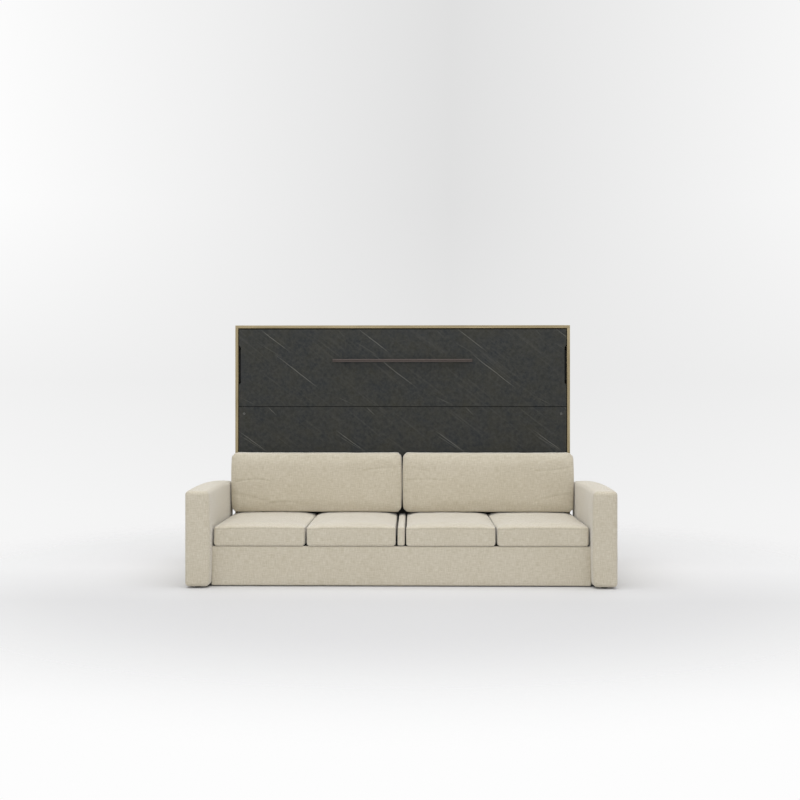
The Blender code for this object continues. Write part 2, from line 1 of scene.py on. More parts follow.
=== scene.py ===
# %% [markdown]
# # A wall bed with a sofa in front of it
#
# The object is a horizontal wall bed, folded up into a shallow cabinet of light oak. Its front is a dark
# slate-look board with one long bar handle. A beige sofa with box arms stands in front of it. The bed
# comes down over the sofa: its two legs swing out, and the two large back cushions tip forward under it.
#
# The boards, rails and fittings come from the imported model. This script gives them their finishes, and
# makes the soft pieces again as cloth: a pad that is right in size but hard at the edges never looks like
# a sofa.

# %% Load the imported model
import math

import bpy
import numpy as np
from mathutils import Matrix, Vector


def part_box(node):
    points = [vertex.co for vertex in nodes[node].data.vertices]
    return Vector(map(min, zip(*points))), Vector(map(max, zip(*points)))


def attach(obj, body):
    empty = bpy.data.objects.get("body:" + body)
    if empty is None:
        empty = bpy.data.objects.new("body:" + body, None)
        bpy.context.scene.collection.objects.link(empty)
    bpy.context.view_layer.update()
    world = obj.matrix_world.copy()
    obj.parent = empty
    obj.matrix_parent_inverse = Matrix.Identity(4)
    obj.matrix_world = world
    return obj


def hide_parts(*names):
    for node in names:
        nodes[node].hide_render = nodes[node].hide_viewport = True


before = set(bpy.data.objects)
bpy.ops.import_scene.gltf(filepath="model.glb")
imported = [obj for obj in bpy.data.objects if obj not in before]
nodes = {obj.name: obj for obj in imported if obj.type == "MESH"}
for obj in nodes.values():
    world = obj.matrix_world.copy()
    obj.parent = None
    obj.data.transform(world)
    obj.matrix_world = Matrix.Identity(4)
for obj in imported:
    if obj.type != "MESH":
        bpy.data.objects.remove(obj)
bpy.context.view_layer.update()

scene = bpy.context.scene
scene.view_settings.view_transform = "Standard"
print("nodes in the frame:", len(nodes))

# %% [markdown]
# ## The camera
#
# The photograph was taken straight on, from about eye level while seated, with a normal lens. A camera
# can be placed by eye, but a fit is surer: the corners of the cabinet, the arms and the cushions were
# measured in the picture, and the camera's place, its small turn and its focal length were solved from
# them together.

# %% Camera from the fit
image_width = 800
sensor_width = 36.0
focal_pixels = 1052.7
camera_place = (0.0738, -6.5444, 1.0506)
camera_yaw = 0.01318
camera_pitch = 0.00177

camera_data = bpy.data.cameras.new("camera")
camera_data.sensor_width = sensor_width
camera_data.lens = sensor_width * focal_pixels / image_width
camera = bpy.data.objects.new("camera", camera_data)
camera.location = camera_place
camera.rotation_euler = (math.radians(90) + camera_pitch, 0, camera_yaw)
scene.collection.objects.link(camera)
scene.camera = camera
print("lens: %.1f mm" % camera_data.lens)

# %% [markdown]
# ## Colours and nodes
#
# Colours are written as they look on a screen, as sRGB hex values. Blender mixes light in linear values,
# so one function converts them. One more small function adds a shader node with its settings and its
# links, which keeps every recipe below short enough to read as a recipe.

# %% Colour and node helpers
def linear(hex_colour, alpha=1.0):
    """A hex colour as linear red, green, blue and alpha: the screen's curve undone, channel by channel."""
    channels = np.array([int(hex_colour[place:place + 2], 16) for place in (1, 3, 5)]) / 255
    curved = ((channels + 0.055) / 1.055) ** 2.4
    return (*np.where(channels <= 0.04045, channels / 12.92, curved).tolist(), alpha)


def add_node(tree, kind, inputs=(), **settings):
    """Add one node. An input is a plain value, or another node's output, which is then linked."""
    node = tree.nodes.new("ShaderNode" + kind)
    for name, value in settings.items():
        setattr(node, name, value)
    for key, value in dict(inputs).items():
        if isinstance(value, bpy.types.NodeSocket):
            tree.links.new(value, node.inputs[key])
        else:
            node.inputs[key].default_value = value
    return node


def start_material(name, roughness, **sockets):
    """A new Principled material. Values that are the same all over are set on the shader itself."""
    material = bpy.data.materials.new(name)
    material.use_nodes = True
    tree = material.node_tree
    shader = tree.nodes["Principled BSDF"]
    shader.inputs["Roughness"].default_value = roughness
    for key, value in sockets.items():
        shader.inputs[key.replace("_", " ")].default_value = value
    return material, tree, shader


def blend_colours(tree, share, first, second):
    """The mix of two colours, by a share from another node."""
    mixed = add_node(tree, "Mix", {0: share, 6: first, 7: second}, data_type="RGBA")
    return mixed.outputs[2]


def remap(tree, value, low, high, to_low=0.0, to_high=1.0):
    """A value stretched from one span to another, and held at its ends."""
    ends = {"Value": value, "From Min": low, "From Max": high, "To Min": to_low, "To Max": to_high}
    return add_node(tree, "MapRange", ends).outputs[0]


def calculate(tree, operation, *values):
    """One step of arithmetic on values or outputs."""
    return add_node(tree, "Math", dict(enumerate(values)), operation=operation).outputs[0]


def relief(tree, shader, height, distance):
    """Let a height, in shares of a distance in metres, tilt the surface's shading."""
    bump = add_node(tree, "Bump", {"Height": height, "Distance": distance, "Strength": 1.0})
    tree.links.new(bump.outputs[0], shader.inputs["Normal"])


print("a mid grey, #808080, is %.3f in linear light" % linear("#808080")[0])

# %% [markdown]
# ## The upholstery fabric
#
# The sofa wears a plain-woven beige cloth with a melange look: single threads are lighter or darker, and
# some swell into slubs. It has no shine, only the pale bloom that short fibres give at a grazing angle,
# which is the shader's sheen. The pattern follows the cloth, so it reads each pad's own UV map, which is
# in metres. A real thread here is about 1.2 mm wide. From six metres that would vanish, so it is drawn at
# 3 mm.

# %% Woven fabric
thread_spacing = 0.003
slub_length = 0.036
slub_width = 0.0048
weave_relief = 0.0004
melange_low, melange_high = 0.80, 1.46


def upholstery_cloth():
    """Plain weave: a height of sine across times sine along, streaks of colour along both threads, and
    painted shade in its hollows and seams.
    """
    material, tree, shader = start_material("beige_woven_cloth", 0.92, Sheen_Weight=0.6,
                                            Sheen_Roughness=0.4, Specular_IOR_Level=0.25)
    place = add_node(tree, "TexCoord").outputs["UV"]
    across, along, _ = add_node(tree, "SeparateXYZ", {0: place}).outputs
    waves = [calculate(tree, "SINE", calculate(tree, "MULTIPLY", axis, math.pi / thread_spacing))
             for axis in (across, along)]
    crossing = calculate(tree, "MULTIPLY", *waves)
    streaks = []
    for stretch in ((1 / slub_length, 1 / slub_width, 1), (1 / slub_width, 1 / slub_length, 1)):
        stretched = add_node(tree, "Mapping", {"Vector": place, "Scale": stretch}).outputs[0]
        noise = add_node(tree, "TexNoise", {"Vector": stretched, "Scale": 1.0, "Detail": 3.0})
        streaks.append(noise.outputs[0])
    body = add_node(tree, "TexCoord").outputs["Object"]
    cloud = add_node(tree, "TexNoise", {"Vector": body, "Scale": 4.0, "Detail": 1.0}).outputs[0]
    melange = calculate(tree, "MULTIPLY_ADD", cloud, 0.25, calculate(tree, "ADD", *streaks))
    tone = remap(tree, melange, melange_low, melange_high)
    colour = blend_colours(tree, tone, linear("#b8af9a"), linear("#d1cabb"))
    # Painted shade: the cloth is darker where the weave's height dips between threads.
    hollow_shade = remap(tree, crossing, -1.0, 0.2, 0.22, 0.0)
    colour = blend_colours(tree, hollow_shade, colour, linear("#8f8670"))
    # Painted shade: the cloth is darkened along the seam lines, where the pressed-in grooves lie.
    seam_shade = add_node(tree, "Attribute", attribute_name="seam_shade").outputs["Fac"]
    colour = blend_colours(tree, calculate(tree, "MULTIPLY", seam_shade, 0.25), colour, linear("#857c68"))
    tree.links.new(colour, shader.inputs["Base Color"])
    height = calculate(tree, "ADD", crossing, calculate(tree, "MULTIPLY", melange, 0.8))
    relief(tree, shader, height, weave_relief)
    return material


cloth = upholstery_cloth()
print("cloth nodes:", len(cloth.node_tree.nodes))

# %% [markdown]
# ## The slate-look front
#
# The two front boards are chipboard under a printed and embossed decor: dark grey stone with soft olive
# and blue clouds, a fine grain, and thin pale veins that all run the same way, down to the right. The
# clouds and the grain are noise: the clouds are about 180 mm wide, and the grain starts at 24 mm and is
# broken up down to 1 mm. The veins are drawn one by one: each is the distance to a short line, with the
# place that is measured pushed about a little by noise, so that no vein is ruler-straight. The print
# comes off a roller, so the same veins come again every 0.63 m: the place across is wrapped round to that
# length.

# %% Slate decor
decor_start, decor_repeat = -1.060, 0.631
clouds_per_metre, grains_per_metre = 5.5, 42.0
scratch_slant, scratch_stretch = math.radians(-38), (2.0, 60.0, 60.0)
vein_width = 0.0027
vein_wander = 0.008
decor_relief = 0.0004

# Each vein has its start and end in x and z, in metres, and its strength.
vein_lines = (((-0.908, 1.514), (-0.728, 1.375), 0.46), ((-0.812, 1.352), (-0.550, 1.148), 0.46),
              ((-0.927, 1.433), (-0.776, 1.338), 0.13), ((-1.041, 1.508), (-1.003, 1.470), 0.16),
              ((-1.048, 0.864), (-0.867, 0.731), 0.40), ((-1.043, 0.837), (-0.885, 0.738), 0.18),
              ((-0.860, 1.018), (-0.808, 0.965), 0.30), ((-1.036, 1.078), (-0.945, 1.033), 0.16))


def vein(tree, x, z, start, end):
    """1 on a line, 0 beside it and past its ends: a narrow tent across times a wide one along."""
    length = math.dist(start, end)
    x_way, z_way = (end[0] - start[0]) / length, (end[1] - start[1]) / length
    along = calculate(tree, "MULTIPLY_ADD", z, z_way, -(start[0] * x_way + start[1] * z_way) - length / 2)
    along = calculate(tree, "ABSOLUTE", calculate(tree, "MULTIPLY_ADD", x, x_way, along))
    aside = calculate(tree, "MULTIPLY_ADD", z, x_way, start[0] * z_way - start[1] * x_way)
    aside = calculate(tree, "ABSOLUTE", calculate(tree, "MULTIPLY_ADD", x, -z_way, aside))
    near = remap(tree, aside, 0.0, vein_width, 1.0, 0.0)
    return calculate(tree, "MULTIPLY", near, remap(tree, along, length * 0.25, length * 0.58, 1.0, 0.0))


def slate_decor():
    """Stone decor: clouds and grain of noise, and veins as thin bands around short lines."""
    material, tree, shader = start_material("slate_decor_board", 0.62, Specular_IOR_Level=0.18)
    body = add_node(tree, "TexCoord").outputs["Object"]
    cloud = add_node(tree, "TexNoise", {"Vector": body, "Scale": clouds_per_metre, "Detail": 6.0,
                                      "Roughness": 0.72})
    grain = add_node(tree, "TexNoise", {"Vector": body, "Scale": grains_per_metre, "Detail": 5.0,
                                      "Roughness": 0.75})
    clouded = remap(tree, cloud.outputs[0], 0.38, 0.62)
    colour = blend_colours(tree, clouded, linear("#212528"), linear("#2c2c26"))
    speckle = remap(tree, grain.outputs[0], 0.34, 0.68, 0.0, 0.8)
    colour = blend_colours(tree, speckle, colour, linear("#3b3b38"))
    slanted = add_node(tree, "Mapping", {"Vector": body, "Rotation": (0, scratch_slant, 0)}).outputs[0]
    slanted = add_node(tree, "Mapping", {"Vector": slanted, "Scale": scratch_stretch}).outputs[0]
    scratch = add_node(tree, "TexNoise", {"Vector": slanted, "Scale": 1.0, "Detail": 2.0}).outputs[0]
    colour = blend_colours(tree, remap(tree, scratch, 0.58, 0.80, 0.0, 0.3), colour, linear("#504f4b"))
    wander = add_node(tree, "TexNoise", {"Vector": body, "Scale": 9.0, "Detail": 2.0})
    shift = add_node(tree, "VectorMath", {0: wander.outputs[1], 1: (0.5, 0.5, 0.5)}, operation="SUBTRACT")
    shift = add_node(tree, "VectorMath", {0: shift.outputs[0], "Scale": vein_wander}, operation="SCALE")
    place = add_node(tree, "VectorMath", {0: body, 1: shift.outputs[0]}, operation="ADD").outputs[0]
    x, _, z = add_node(tree, "SeparateXYZ", {0: place}).outputs
    x = calculate(tree, "WRAP", x, decor_start + decor_repeat, decor_start)
    veins = None
    for start, end, strength in vein_lines:
        line = calculate(tree, "MULTIPLY", vein(tree, x, z, start, end), strength)
        veins = line if veins is None else calculate(tree, "MAXIMUM", veins, line)
    worn = add_node(tree, "TexNoise", {"Vector": body, "Scale": 18.0}).outputs[0]
    patchy = remap(tree, worn, 0.3, 0.6, 0.45, 1.0)
    colour = blend_colours(tree, calculate(tree, "MULTIPLY", veins, patchy), colour, linear("#8f8e86"))
    tree.links.new(colour, shader.inputs["Base Color"])
    relief(tree, shader, grain.outputs[0], decor_relief)
    return material


slate = slate_decor()
print("slate nodes:", len(slate.node_tree.nodes))

# %% [markdown]
# ## Wood
#
# The cabinet is chipboard under a light oak decor with matching edge bands. Wood grain is noise that is
# stretched along the board: streaks about 24 mm wide for the growth rings, and short dark pores. Real
# pores are finer than a millimetre, and are drawn 2.4 mm wide so that they show. Each board needs the
# streaks along its own length, so the same recipe is made once for boards that run across, and once for
# boards that stand. The birch slats use it too, paler.

# %% Wood finishes
streaks_along, streaks_across = 0.9, 14.0
pores_along, pores_across = 12.0, 420.0
pore_relief = -0.0002


def wood_grain(name, along, light, dark, pore, roughness):
    """Streaks and pores of noise, squeezed across the grain and drawn out along it."""
    material, tree, shader = start_material(name, roughness, Specular_IOR_Level=0.4)
    body = add_node(tree, "TexCoord").outputs["Object"]
    stretch = [streaks_along if axis == along else streaks_across for axis in "xyz"]
    rings = add_node(tree, "Mapping", {"Vector": body, "Scale": stretch}).outputs[0]
    streak = add_node(tree, "TexNoise", {"Vector": rings, "Scale": 3.0, "Detail": 6.0, "Distortion": 0.3})
    stretch = [pores_along if axis == along else pores_across for axis in "xyz"]
    pores = add_node(tree, "Mapping", {"Vector": body, "Scale": stretch}).outputs[0]
    fine = add_node(tree, "TexNoise", {"Vector": pores, "Scale": 1.0, "Detail": 3.0})
    colour = blend_colours(tree, remap(tree, streak.outputs[0], 0.34, 0.66), linear(light), linear(dark))
    colour = blend_colours(tree, remap(tree, fine.outputs[0], 0.54, 0.72, 0.0, 0.55), colour, linear(pore))
    tree.links.new(colour, shader.inputs["Base Color"])
    relief(tree, shader, fine.outputs[0], pore_relief)
    return material


oak_across = wood_grain("light_oak_across", "x", "#a09272", "#897b5a", "#6c5f41", 0.55)
oak_upright = wood_grain("light_oak_upright", "z", "#a09272", "#897b5a", "#6c5f41", 0.55)
birch_across = wood_grain("birch_plywood_across", "x", "#d6c39c", "#c6ae82", "#b59a6c", 0.6)
birch_upright = wood_grain("birch_plywood_upright", "z", "#d6c39c", "#c6ae82", "#b59a6c", 0.6)
hardboard = wood_grain("hardboard_back", "z", "#b9a57c", "#ab966c", "#9a855c", 0.7)
print("wood finishes: oak and birch, each across and upright, and hardboard")

# %% [markdown]
# ## Metals, rubber and the bed's textiles
#
# The rails, legs and plates are steel with a black powder coat: matt, with a fine orange-peel skin. The
# handle is brushed, and bronze in colour: its lines run along the bar and draw the light out across it.
# The spring rods are zinc-plated steel, and the two bolt caps are steel that has gone dull. Rubber is
# dark grey and the dullest. The mattress wears a knitted cover, the deck under the seat a dark felt, and
# the straps are elastic webbing. All of these are one recipe, a fine grain of noise for tone and relief,
# so they are one function. Its scale counts grains in a metre: 900 gives 1.1 mm and 260 gives 3.8 mm.
# Real grit and knit are finer still, and are drawn this coarse so that they show when the camera comes
# nearer.

# %% Metals, rubber and textiles
def speckled(name, light, dark, scale, roughness, height=0.0002, stretch=(1, 1, 1), **sockets):
    """One finish with a fine tone of noise, and the same noise as relief of the given height in metres."""
    material, tree, shader = start_material(name, roughness, **sockets)
    body = add_node(tree, "TexCoord").outputs["Object"]
    stretched = add_node(tree, "Mapping", {"Vector": body, "Scale": stretch}).outputs[0]
    noise = add_node(tree, "TexNoise", {"Vector": stretched, "Scale": scale, "Detail": 3.0}).outputs[0]
    colour = blend_colours(tree, remap(tree, noise, 0.35, 0.65), linear(light), linear(dark))
    tree.links.new(colour, shader.inputs["Base Color"])
    relief(tree, shader, noise, height)
    return material


powder_coat = speckled("black_powder_coat", "#0e0e0f", "#070708", 900.0, 0.55, 0.0003,
                       Specular_IOR_Level=0.2)
bronze = speckled("brushed_bronze", "#4e4642", "#3b3330", 60.0, 0.42, 0.00008, (1, 40, 40), Metallic=0.6)
bolt_metal = speckled("zinc_plated_steel", "#8c8c89", "#6c6c6a", 300.0, 0.42, 0.0001, Metallic=0.8)
cap_metal = speckled("dulled_steel_caps", "#565652", "#3c3c39", 300.0, 0.5, 0.0001, Metallic=0.4)
rubber = speckled("black_rubber", "#262626", "#1c1c1c", 500.0, 0.85)
ticking = speckled("knitted_mattress_cloth", "#ece9e1", "#d9d6cd", 260.0, 0.9, 0.0008, Sheen_Weight=0.2)
lining = speckled("dark_lining_felt", "#2b2a28", "#201f1e", 400.0, 0.9)
webbing = speckled("elastic_webbing", "#55565a", "#3d3e41", 500.0, 0.85, 0.0006, (4, 1, 1))
print("materials:", len(bpy.data.materials))

# %% [markdown]
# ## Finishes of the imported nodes
#
# A real maker lists each part with its finish, and this table does the same. The loop after it puts each
# finish on every material place of its nodes, so that no solid keeps the finish it was packed with.

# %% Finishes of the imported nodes
finishes = {
    oak_across: ("cabinet_top", "cabinet_bottom", "wall_rail"),
    oak_upright: ("cabinet_side_left", "cabinet_side_right"),
    hardboard: ("cabinet_back",),
    slate: ("bed_front_upper", "bed_front_lower", "fascia_board"),
    birch_across: ("sofa_back_rail",),
    lining: ("seat_deck",),
    birch_upright: ("slat_base_left", "slat_base_right", "centre_rib",
                    "deck_cleat_left", "deck_cleat_right"),
    powder_coat: ("side_rail_left", "side_rail_right", "top_rail", "middle_rail", "bottom_rail",
                  "pivot_plate_left", "pivot_plate_right", "spring_anchor_left", "spring_anchor_right",
                  "spring_bracket_left", "spring_bracket_right", "spring_tube_left", "spring_tube_right",
                  "leg_left", "leg_right"),
    bronze: ("handle_bar", "handle_post_left", "handle_post_right"),
    bolt_metal: ("spring_rod_left", "spring_rod_right"),
    cap_metal: ("bolt_cap_left", "bolt_cap_right"),
    rubber: ("leg_foot_left", "leg_foot_right", "closing_bumper_left", "closing_bumper_right",
             "glide_left_front", "glide_left_back", "glide_right_front", "glide_right_back"),
    webbing: ("mattress_strap_left", "mattress_strap_right"),
}
for finish, names in finishes.items():
    for name in names:
        for place in nodes[name].material_slots:
            place.material = finish
print("nodes given a finish:", sum(len(names) for names in finishes.values()))

# %% [markdown]
# ## A rounded block as a grid
#
# Every padded piece starts as the skin of a rounded block. A bevelled cube would do for one shape, but
# its faces are too large to bend. Here the skin is a grid: the points of a box-shaped lattice that lie on
# its outside. From the nearest point of a smaller box inside, each is set off by the rounding's radius.
# The lattice lines are spaced by the tangent of even angles within the rounding, so the points come out
# evenly round the corner. The same grid gives the cloth its UV map, in metres.

# %% Grid of a rounded block
def lattice_line(half, radius, step):
    """Places along one axis: tangents of even angles inside both roundings, and even steps between them."""
    turns = max(2, round(radius * math.pi / 4 / step))
    rounding = half - radius + radius * np.tan(np.linspace(0, math.pi / 4, turns + 1))[1:]
    straight = np.linspace(radius - half, half - radius, max(2, round(2 * (half - radius) / step)) + 1)
    return np.concatenate([-rounding[::-1], straight, rounding])


def block_grid(size, radius, step):
    """Skin of a rounded block: inner box point + radius * direction from it to the lattice point."""
    half = np.array(size) / 2
    lines = [lattice_line(length, radius, step) for length in half]
    counts = [len(line) for line in lines]
    corners, charts = [], []
    for axis in range(3):
        others = [other for other in range(3) if other != axis]
        first, second = np.meshgrid(*(np.arange(counts[other]) for other in others), indexing="ij")
        for end in (0, counts[axis] - 1):
            index = np.empty((3, *first.shape), int)
            index[axis], index[others[0]], index[others[1]] = end, first, second
            code = index[0] + counts[0] * (index[1] + counts[1] * index[2])
            quad = np.stack([code[:-1, :-1], code[1:, :-1], code[1:, 1:], code[:-1, 1:]], axis=-1)
            chart = np.stack([lines[others[0]][first], lines[others[1]][second]], axis=-1)
            charted = np.stack([chart[:-1, :-1], chart[1:, :-1], chart[1:, 1:], chart[:-1, 1:]], axis=-2)
            if (end == 0) != (axis == 1):
                quad, charted = quad[..., ::-1], charted[..., ::-1, :]
            corners.append(quad.reshape(-1, 4))
            charts.append(charted.reshape(-1, 4, 2))
    used, faces = np.unique(np.concatenate(corners), return_inverse=True)
    index = used % counts[0], used // counts[0] % counts[1], used // (counts[0] * counts[1])
    lattice = np.stack([lines[axis][index[axis]] for axis in range(3)], axis=-1)
    inside = np.clip(lattice, radius - half, half - radius)
    way = lattice - inside
    points = inside + radius * way / np.linalg.norm(way, axis=1, keepdims=True)
    return points, faces.reshape(-1, 4), np.concatenate(charts), points / half


def subdivide_once(piece):
    """One level of subdivision, which stays live."""
    finer = piece.modifiers.new("finer", "SUBSURF")
    finer.levels = finer.render_levels = 1


def make_piece(name, points, faces, chart, material):
    """A mesh object from arrays: points, quads and the quads' places on the cloth."""
    mesh = bpy.data.meshes.new(name)
    mesh.from_pydata(points.tolist(), [], faces.tolist())
    if chart is not None:
        mesh.uv_layers.new(name="UVMap").data.foreach_set("uv", chart.reshape(-1).astype(np.float32))
    mesh.shade_smooth()
    mesh.materials.append(material)
    piece = bpy.data.objects.new(name, mesh)
    scene.collection.objects.link(piece)
    return piece


def read_vectors(rows, key):
    """One vector from each row of a mesh's points or attribute, as one array."""
    flat = np.empty(len(rows) * 3, np.float32)
    rows.foreach_get(key, flat)
    return flat.reshape(-1, 3).astype(float)


def mesh_points(mesh):
    """The places of the mesh's points."""
    return read_vectors(mesh.vertices, "co")


def point_normals(mesh):
    """The direction in which the surface faces at each point."""
    return read_vectors(mesh.vertices, "normal")


def set_mesh_points(mesh, points):
    """Put the array's points back into the mesh."""
    mesh.vertices.foreach_set("co", points.astype(np.float32).ravel())
    mesh.update()


def node_span(*names):
    """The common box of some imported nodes, as two arrays."""
    boxes = [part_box(name) for name in names]
    return np.min([low for low, _ in boxes], axis=0), np.max([high for _, high in boxes], axis=0)


print("a line over 100 mm, rounded by 20 mm:", np.round(lattice_line(0.05, 0.02, 0.008) * 1000, 1))

# %% [markdown]
# ## Filling the cushions
#
# A cushion is a cover that is cut a little small for its foam. Its faces swell, its seams stay back, and
# the cloth gathers near the corners. Blender's cloth simulation does this: the cover starts as a block
# without its crown, and pressure inside pushes it out for twenty frames without gravity. A soft cap holds
# back the longest moves. Along each axis only a share of a move is kept, because firm foam holds its
# outline, and the crown is scaled to its real height. Then the cover is stretched back to the room that
# the cushion has, and held inside it, so that it lies flat where it rests on the deck or on the bed's
# front. The seams are pressed in last.

# %% Cloth simulation
filling_frames = 20
filling_pressure = 4.0
longest_move = 0.024


def inflate(piece):
    """Moves after some frames of cloth under pressure, softly capped: cap * tanh(length / cap) long."""
    start = mesh_points(piece.data)
    stuffing = piece.modifiers.new("stuffing", "CLOTH")
    stuffing.settings.use_pressure = True
    stuffing.settings.uniform_pressure_force = filling_pressure
    stuffing.settings.effector_weights.gravity = 0
    stuffing.settings.quality = 5
    for moment in range(1, filling_frames + 1):
        scene.frame_set(moment)
    stuffed = piece.evaluated_get(bpy.context.evaluated_depsgraph_get())
    move = mesh_points(stuffed.to_mesh()) - start
    stuffed.to_mesh_clear()
    piece.modifiers.remove(stuffing)
    scene.frame_set(1)
    length = np.linalg.norm(move, axis=1, keepdims=True)
    print(piece.name, "moved by %.1f mm, at most %.1f mm" % (length.mean() * 1000, length.max() * 1000))
    return move * longest_move * np.tanh(length / longest_move) / np.maximum(length, 1e-9)


def apply_modifiers(piece):
    """Make the modifiers' result the piece's own mesh."""
    made = bpy.data.meshes.new_from_object(piece.evaluated_get(bpy.context.evaluated_depsgraph_get()))
    made.name = piece.name
    piece.modifiers.clear()
    piece.data = made


def write_attribute(mesh, name, values):
    """Keep one number or one vector for each point in the mesh."""
    kind, key = ("FLOAT_VECTOR", "vector") if values.ndim == 2 else ("FLOAT", "value")
    made = mesh.attributes.new(name, kind, "POINT")
    made.data.foreach_set(key, values.astype(np.float32).ravel())


# %% Shapes and seams of cushions
fabric_step = 0.0125
seat_arch = 0.006
side_belly = 0.006
seam_width = 0.0030
seam_depth = 0.0010
cover_ripple, cover_ripple_length = 0.0008, 0.11
ripple_waves, ripple_gain = 8, 1.6


def bell(distance, width):
    """A bell curve: 1 at no distance, and about 0 beyond two widths."""
    return np.exp(-(distance / width) ** 2)


def ripple(points, wavelength, seed):
    """Soft unevenness from about -1 to 1: the mean of sine waves that run in random, seeded directions."""
    dice = np.random.default_rng(seed)
    ways = dice.normal(size=(ripple_waves, 3))
    ways /= np.linalg.norm(ways, axis=1, keepdims=True)
    waves = np.sin(points @ ways.T * 2 * math.pi / wavelength + dice.uniform(0, 2 * math.pi, ripple_waves))
    return waves.mean(axis=1) * ripple_gain


def swell(points, shares, axis, depth, power=2.5):
    """Draw a face's edges back: depth * (1 - (1 - one other share to a power) * (1 - the other to it))."""
    first, second = (shares[:, other] for other in range(3) if other != axis)
    rise = (1 - np.abs(first) ** power) * (1 - np.abs(second) ** power)
    shaped = points.copy()
    shaped[:, axis] -= np.clip(shares[:, axis], -1, 1) * depth * (1 - rise)
    return shaped


def round_outline(points, half, turn, ends):
    """Round a block's corners in its x-z outline: a square corner of side turn becomes a quarter disc."""
    rounded = points.copy()
    past = np.clip((np.abs(points[:, [0, 2]]) - (half[[0, 2]] - turn)) / turn, 0, None)
    share = past.max(axis=1) / np.maximum(np.hypot(*past.T), 1e-9)
    share = np.where((past.min(axis=1) > 0) & np.isin(np.sign(points[:, 2]), ends), share, 1)
    for column, axis in enumerate((0, 2)):
        rounded[:, axis] -= np.sign(points[:, axis]) * past[:, column] * turn * (1 - share)
    return rounded


def stuffed_cushion(name, room, thin, resting, crown, radius, corner, give_shares, seams, seed):
    """A cushion: a block, filled, with a face that rises by a crown, and sides stretched back to the room.

    thin is the axis through the cushion, and resting the end of it, -1 or 1, that lies flat on something.
    corner rounds the outline seen from in front: its size, and its ends, -1 below and 1 above. give_shares
    are the shares of the filling's moves that are kept along each axis. seams are rings round the sides:
    the axis, the end, and the distance from that end.
    """
    low, high = (np.array(corner_place, float) for corner_place in room)
    size = high - low
    size[thin] -= crown
    centre = (low + high) / 2
    centre[thin] += resting * crown / 2
    points, faces, chart, shares = block_grid(size, radius, fabric_step)
    points = round_outline(points, size / 2, *corner)
    uneven = points + centre + cover_ripple * ripple(points, cover_ripple_length, seed)[:, None]
    piece = make_piece(name, uneven, faces, chart, cloth)
    write_attribute(piece.data, "block_place", points)
    move = inflate(piece)
    move = move * give_shares
    move[:, thin] *= crown / np.abs(move[:, thin]).max()
    filled = mesh_points(piece.data) + move
    middle = (filled.max(axis=0) + filled.min(axis=0)) / 2
    stretch = (high - low) / np.ptp(filled, axis=0)
    stretch[thin] = 1
    filled = (filled - middle) * stretch + (low + high) / 2
    if thin == 2:
        filled[:, 2] -= seat_arch * shares[:, 0] ** 2 * np.clip(shares[:, 2], 0, 1)
    else:
        filled[:, 0] -= side_belly * shares[:, 0] ** 5 * shares[:, 2] ** 2
    room_end, reach = (low, filled.min(axis=0)) if resting > 0 else (high, filled.max(axis=0))
    filled[:, thin] += room_end[thin] - reach[thin]
    set_mesh_points(piece.data, np.clip(filled, low, high))
    subdivide_once(piece)
    apply_modifiers(piece)
    place = read_vectors(piece.data.attributes["block_place"].data, "vector")
    line = np.zeros(len(place))
    for axis, end, inset in seams:
        line = np.maximum(line, bell(place[:, axis] * end - size[axis] / 2 + inset, seam_width))
    pressed = mesh_points(piece.data) - point_normals(piece.data) * seam_depth * line[:, None]
    set_mesh_points(piece.data, pressed)
    # The seam lines are kept on the cover, so the cloth can paint shade along them.
    write_attribute(piece.data, "seam_shade", line)
    piece.data.shade_smooth()
    return piece


print("cloth mesh: %.1f mm between points, then half of that" % (fabric_step * 1000))

# %% [markdown]
# ## Seat cushions
#
# Four firm foam cushions in two pairs. The top panel is sewn to the strip round the sides about a
# finger's width below the top. The front stands a little forward, the top is slightly crowned, and the
# underside is flat on the deck. Seen from above, the front corners are eased in sideways by a few
# millimetres, and behind that the cushions nearly touch each other and the arms.

# %% Seat cushions
seat_reach = 1.073
seat_parting = 0.5418, 0.5426
seat_inner = 0.0292
seat_crown, seat_radius, seat_corner, seat_seam = 0.013, 0.011, 0.016, 0.012
seat_give_shares = 0.12, 0.12, 1
seat_front_proud, seat_top_proud = 0.002, 0.001
parting_ease, arm_ease, back_flare = 0.0052, 0.008, 0.004
front_ease_power = 14

for number in range(1, 5):
    name = "seat_cushion_%d" % number
    low, high = node_span(name)
    near, far = (seat_inner, seat_parting[0]) if number in (2, 3) else (seat_parting[1], seat_reach)
    low[0], high[0] = sorted(math.copysign(reach, number - 2.5) for reach in (near, far))
    room = low - (0, seat_front_proud, 0), high + (0, 0, seat_top_proud)
    cushion = stuffed_cushion(name + "_cover", room, 2, -1, seat_crown, seat_radius, (seat_corner, (-1,)),
                              seat_give_shares, ((2, 1, seat_seam),), number)
    points = mesh_points(cushion.data)
    outward = np.clip((np.abs(points[:, 0]) - near) / (far - near), 0, 1)
    back = np.clip((points[:, 1] - low[1]) / (high[1] - low[1]), 0, 1)
    front = (1 - back) ** front_ease_power
    if far == seat_reach:
        spread = front * (parting_ease * (1 - outward) - arm_ease * outward)
        spread += back_flare * back ** 2 * outward
    else:
        spread = -front * parting_ease * outward
    points[:, 0] += np.sign(points[:, 0]) * spread
    set_mesh_points(cushion.data, points)
    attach(cushion, "sofa_cabinet")
    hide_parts(name)
    print(cushion.name, len(cushion.data.polygons), "faces")

# %% [markdown]
# ## Back cushions
#
# Two wide cushions stand on the seat and lean on the bed's front. They are softer than the seat: their
# faces are full, their corners are round, and the cover has a few long creases where it was patted into
# place. A crease is a narrow valley along a short line, with a low ridge beside it.

# %% Creases
ridge_share, ridge_away = 0.35, 1.6
bend_points = 9

